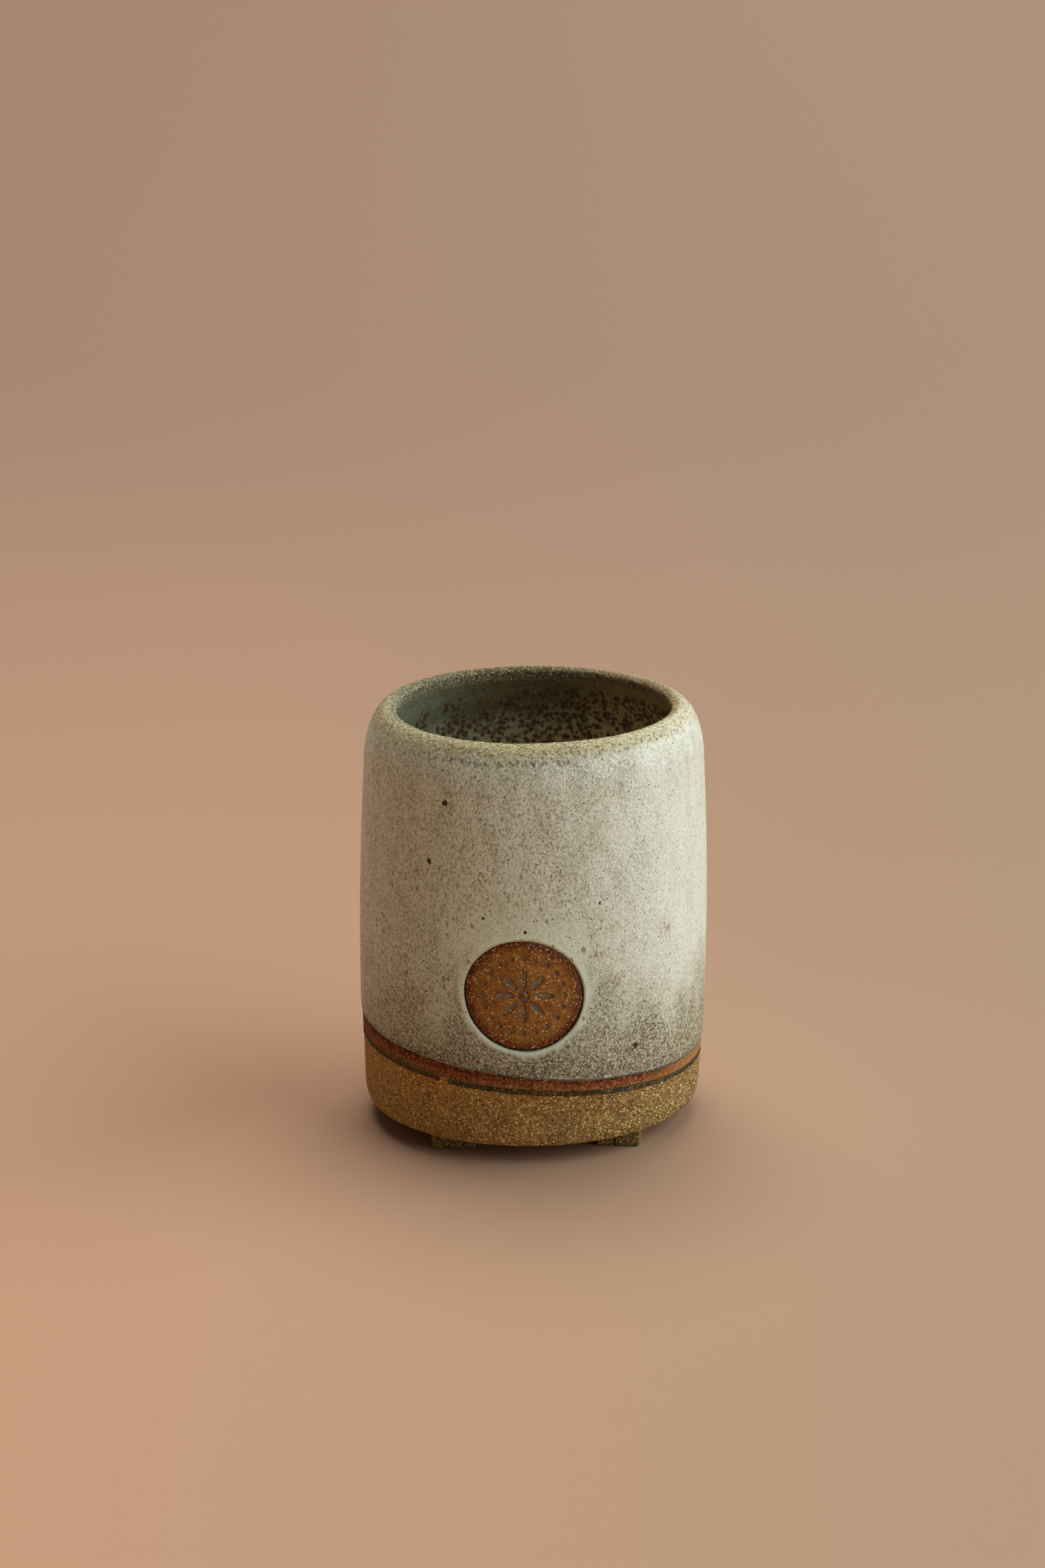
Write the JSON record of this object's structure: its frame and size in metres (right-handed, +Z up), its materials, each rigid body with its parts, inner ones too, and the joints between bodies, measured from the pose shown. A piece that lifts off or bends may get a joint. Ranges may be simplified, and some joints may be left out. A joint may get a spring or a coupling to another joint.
{
  "type": "toothbrush holder",
  "caption": "Free-standing hand-thrown stoneware cup that holds toothbrushes upright, with a closed floor, a rounded shoulder, a round clay seal in its wall and short feet.",
  "frame": {"origin": "on the floor, under the axis of the pot", "axes": "+Z up along the axis of the pot, -Y to the front, where the seal is, +X to the right as seen from the front"},
  "size_m": [0.076, 0.0762, 0.0922],
  "materials": {
    "stoneware": "unglazed, matt, coarse grog",
    "outer_glaze": "satin matt ash glaze, speckled",
    "liner_glaze": "satin, mottled with iron",
    "seal_clay": "unglazed, flashed at the edge",
    "iron_wash": "thin matt iron slip",
    "iron_line": "dark matt slip",
    "foot_clay": "unglazed, matt, rough cut"
  },
  "bodies": {
    "root": {"pot_body": "stoneware", "outer_glaze": "outer_glaze", "liner_glaze": "liner_glaze", "seal": "seal_clay", "iron_wash": "iron_wash", "iron_line": "iron_line", "foot_front_left": "foot_clay", "foot_front_right": "foot_clay", "foot_back_left": "foot_clay", "foot_back_right": "foot_clay"}
  },
  "joints": []
}
